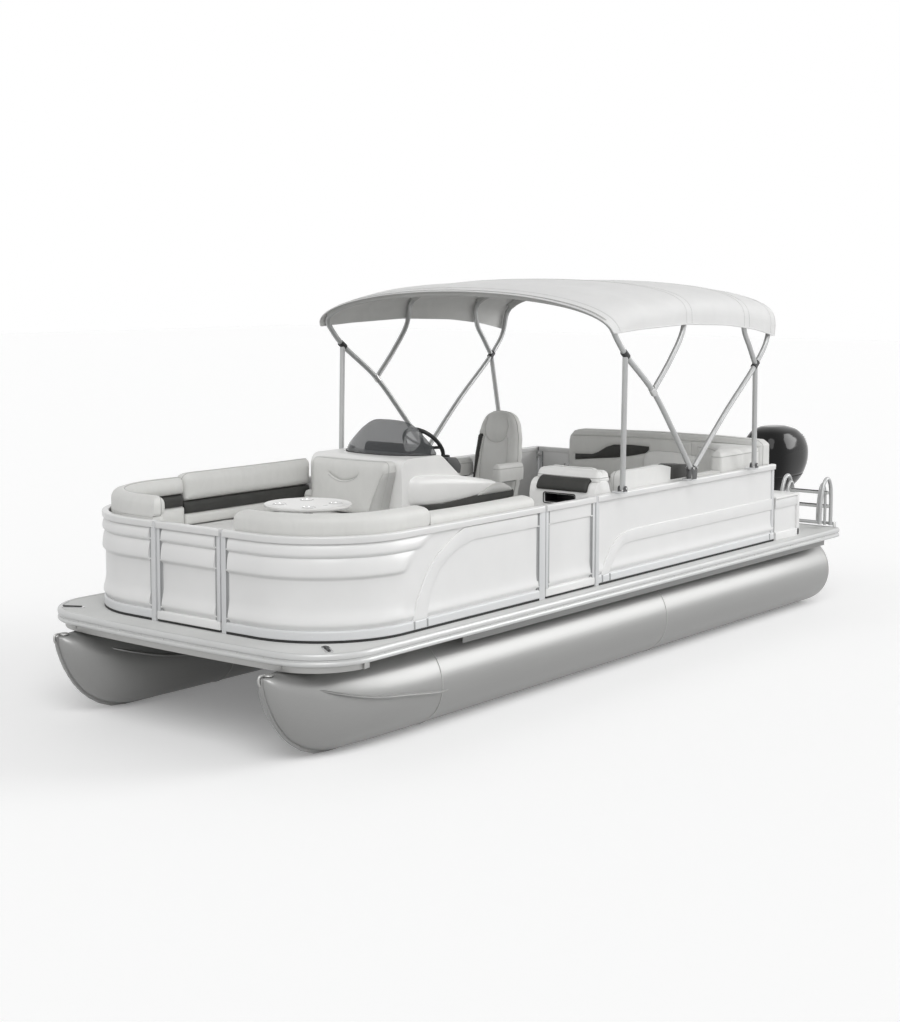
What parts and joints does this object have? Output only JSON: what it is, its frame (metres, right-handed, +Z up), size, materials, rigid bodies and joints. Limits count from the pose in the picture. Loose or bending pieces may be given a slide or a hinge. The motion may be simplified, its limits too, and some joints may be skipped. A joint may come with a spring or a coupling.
{
  "type": "pontoon boat",
  "caption": "Twin-tube pontoon boat with fenced deck, wrap-round lounges, helm console, round table, bimini top, boarding ladder and tilting outboard motor.",
  "frame": {"origin": "centre of the bounding box on the ground plane, at the keels' underside", "axes": "+X towards the bow, +Y to port, +Z up"},
  "size_m": [8.175, 2.65, 2.805],
  "materials": {
    "tube_aluminium": "brushed",
    "frame_aluminium": "mill finish",
    "rail_aluminium": "anodised",
    "deck_covering": "ribbed vinyl",
    "panel_white": "gloss enamel",
    "shell_white": "gel coat",
    "vinyl_grey": "soft vinyl",
    "table_white": "gloss",
    "smoked_acrylic": "smoked",
    "wheel_black": "satin",
    "bow_aluminium": "polished",
    "canvas_white": "coated canvas",
    "engine_black": "gloss",
    "engine_grey": "satin",
    "propeller_grey": "satin"
  },
  "bodies": {
    "hull": {"port_pontoon": "tube_aluminium", "starboard_pontoon": "tube_aluminium", "under_frame": "frame_aluminium", "deck_edge_rail": "rail_aluminium", "deck_panel": "deck_covering", "motor_pod": "tube_aluminium", "port_bow_fence": "panel_white", "port_aft_fence": "panel_white", "starboard_bow_fence": "panel_white", "starboard_aft_fence": "panel_white", "stern_box": "panel_white", "port_bow_seat_base": "shell_white", "port_bow_seat_cushion": "vinyl_grey", "port_bow_seat_back": "vinyl_grey", "starboard_bow_seat_base": "shell_white", "starboard_bow_seat_cushion": "vinyl_grey", "starboard_bow_seat_back": "vinyl_grey", "console_seat_back": "vinyl_grey", "helm_console": "shell_white", "windscreen": "smoked_acrylic", "chair_pedestal": "frame_aluminium", "table_post": "frame_aluminium", "table_top": "table_white", "aft_seat_base": "shell_white", "aft_seat_cushion": "vinyl_grey", "aft_seat_back": "vinyl_grey", "chaise_shell": "shell_white", "chaise_pad": "vinyl_grey", "bimini_bow_front": "bow_aluminium", "bimini_bow_second": "bow_aluminium", "bimini_bow_third": "bow_aluminium", "bimini_bow_rear": "bow_aluminium", "port_front_strut": "bow_aluminium", "starboard_front_strut": "bow_aluminium", "port_rear_strut": "bow_aluminium", "starboard_rear_strut": "bow_aluminium", "bimini_canopy": "canvas_white", "engine_clamp_bracket": "engine_grey"},
    "bow_gate_leaf": {"bow_gate": "panel_white"},
    "port_gate_leaf": {"port_gate": "panel_white"},
    "stern_gate_leaf": {"stern_gate": "panel_white"},
    "chair": {"captain_chair": "vinyl_grey"},
    "wheel": {"steering_wheel": "wheel_black"},
    "ladder": {"boarding_ladder": "bow_aluminium"},
    "swivel": {"engine_swivel_bracket": "engine_grey"},
    "engine": {"engine_cowl": "engine_black", "engine_leg": "engine_grey"},
    "screw": {"propeller": "propeller_grey"}
  },
  "joints": [
    {"name": "bow_gate_swing", "type": "hinge", "parent": "hull", "child": "bow_gate_leaf", "pos_m": [3.737, 0.2825, 1], "axis": [0, 0, 1], "range_deg": [-90, 0]},
    {"name": "port_gate_swing", "type": "hinge", "parent": "hull", "child": "port_gate_leaf", "pos_m": [1.6525, 1.146, 1], "axis": [0, 0, 1], "range_deg": [0, 90]},
    {"name": "stern_gate_swing", "type": "hinge", "parent": "hull", "child": "stern_gate_leaf", "pos_m": [-1.536, -1.1415, 1], "axis": [0, 0, 1], "range_deg": [-90, 0]},
    {"name": "chair_swivel", "type": "hinge", "parent": "hull", "child": "chair", "pos_m": [0, -0.668, 0.928], "axis": [0, 0, 1], "continuous": true},
    {"name": "wheel_turn", "type": "hinge", "parent": "hull", "child": "wheel", "pos_m": [0.728, -0.62, 1.52], "axis": [0.788, 0, -0.6157], "range_deg": [-540, 540]},
    {"name": "ladder_fold", "type": "hinge", "parent": "hull", "child": "ladder", "pos_m": [-2.626, 1.01, 0.704], "axis": [0, -1, 0], "range_deg": [0, 175]},
    {"name": "engine_tilt", "type": "hinge", "parent": "hull", "child": "swivel", "pos_m": [-3.138, 0.1, 0.738], "axis": [0, 1, 0], "range_deg": [0, 62]},
    {"name": "engine_steer", "type": "hinge", "parent": "swivel", "child": "engine", "pos_m": [-3.232, 0.1, 0.6], "axis": [0, 0, 1], "range_deg": [-30, 30]},
    {"name": "propeller_spin", "type": "hinge", "parent": "engine", "child": "screw", "pos_m": [-3.71, 0.1, 0.172], "axis": [1, 0, 0], "continuous": true}
  ],
  "couplings": [
    {"joint": "wheel_turn", "follows": "engine_steer", "ratio": 18}
  ]
}
